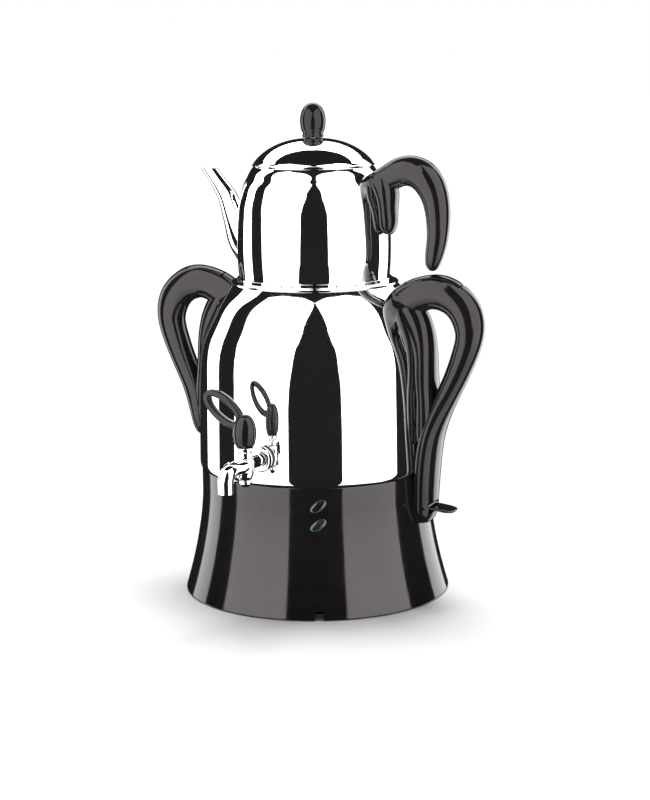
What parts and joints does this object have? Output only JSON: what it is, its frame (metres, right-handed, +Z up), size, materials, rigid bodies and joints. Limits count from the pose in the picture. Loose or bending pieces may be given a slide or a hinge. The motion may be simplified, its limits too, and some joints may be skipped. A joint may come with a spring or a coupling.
{
  "type": "electric samovar",
  "caption": "Electric samovar: a heated steel tank with a tap and ear handles on a flared black base, under a steel teapot with a hook handle and a domed lid.",
  "frame": {"origin": "middle of the centre foot's flat underside, on the surface that the samovar stands on", "axes": "+Z up through the knob; the tap points along -Y, the teapot's spout along -X and its handle along +X"},
  "size_m": [0.3338, 0.3063, 0.4502],
  "materials": {
    "polished_steel": "mirror polished",
    "chrome_plate": "bright chrome plate",
    "gloss_black": "high gloss",
    "plated_fastener": "zinc plated",
    "black_rubber": "matt",
    "lamp_lens": "clear teal lens",
    "circuit_board": "satin",
    "element_sheath": "oxidised"
  },
  "bodies": {
    "stand": {"base_housing": "gloss_black", "bottom_cover": "gloss_black", "bottom_screw_1": "plated_fastener", "bottom_screw_2": "plated_fastener", "bottom_screw_3": "plated_fastener", "bottom_screw_4": "plated_fastener", "cord_gland": "black_rubber", "heating_element": "element_sheath", "lamp_board": "circuit_board", "lamp_window_lower": "lamp_lens", "lamp_window_upper": "lamp_lens", "left_handle": "gloss_black", "left_handle_cap": "gloss_black", "left_handle_screw_lower": "plated_fastener", "left_handle_screw_upper": "plated_fastener", "micro_switch": "gloss_black", "right_handle": "gloss_black", "right_handle_cap": "gloss_black", "right_handle_screw_lower": "plated_fastener", "right_handle_screw_upper": "plated_fastener", "rubber_foot_1": "black_rubber", "rubber_foot_2": "black_rubber", "rubber_foot_3": "black_rubber", "rubber_foot_4": "black_rubber", "switch_pin": "plated_fastener", "tank_floor": "polished_steel", "tank_shell": "polished_steel", "tap_body": "chrome_plate", "tap_bonnet": "chrome_plate", "tap_end_cap": "chrome_plate", "tap_flange": "chrome_plate", "tap_gasket": "black_rubber", "tap_nut": "plated_fastener", "thermostat_1": "plated_fastener", "thermostat_2": "plated_fastener"},
    "switch": {"switch_lever": "gloss_black"},
    "tap_key": {"tap_stem": "chrome_plate", "tap_lever": "gloss_black"},
    "ring": {"steam_ring": "polished_steel"},
    "teapot": {"teapot_body": "polished_steel", "teapot_spout": "polished_steel", "teapot_handle": "gloss_black"},
    "lid": {"lid_shell": "polished_steel", "lid_knob": "gloss_black", "lid_screw": "plated_fastener"}
  },
  "joints": [
    {"name": "switch_rock", "type": "hinge", "parent": "stand", "child": "switch", "pos_m": [0.1158, 0, 0.0869], "axis": [0, -1, 0], "range_deg": [0, 14]},
    {"name": "tap_turn", "type": "hinge", "parent": "stand", "child": "tap_key", "pos_m": [0, -0.13991, 0.1423], "axis": [0, 0, 1], "range_deg": [0, 90]},
    {"name": "ring_lift", "type": "slide", "parent": "stand", "child": "ring", "axis": [0, 0, 1], "range_m": [0, 0.03]},
    {"name": "teapot_lift", "type": "slide", "parent": "ring", "child": "teapot", "axis": [0, 0, 1], "range_m": [0, 0.15]},
    {"name": "lid_lift", "type": "slide", "parent": "teapot", "child": "lid", "axis": [0, 0, 1], "range_m": [0, 0.05]}
  ]
}
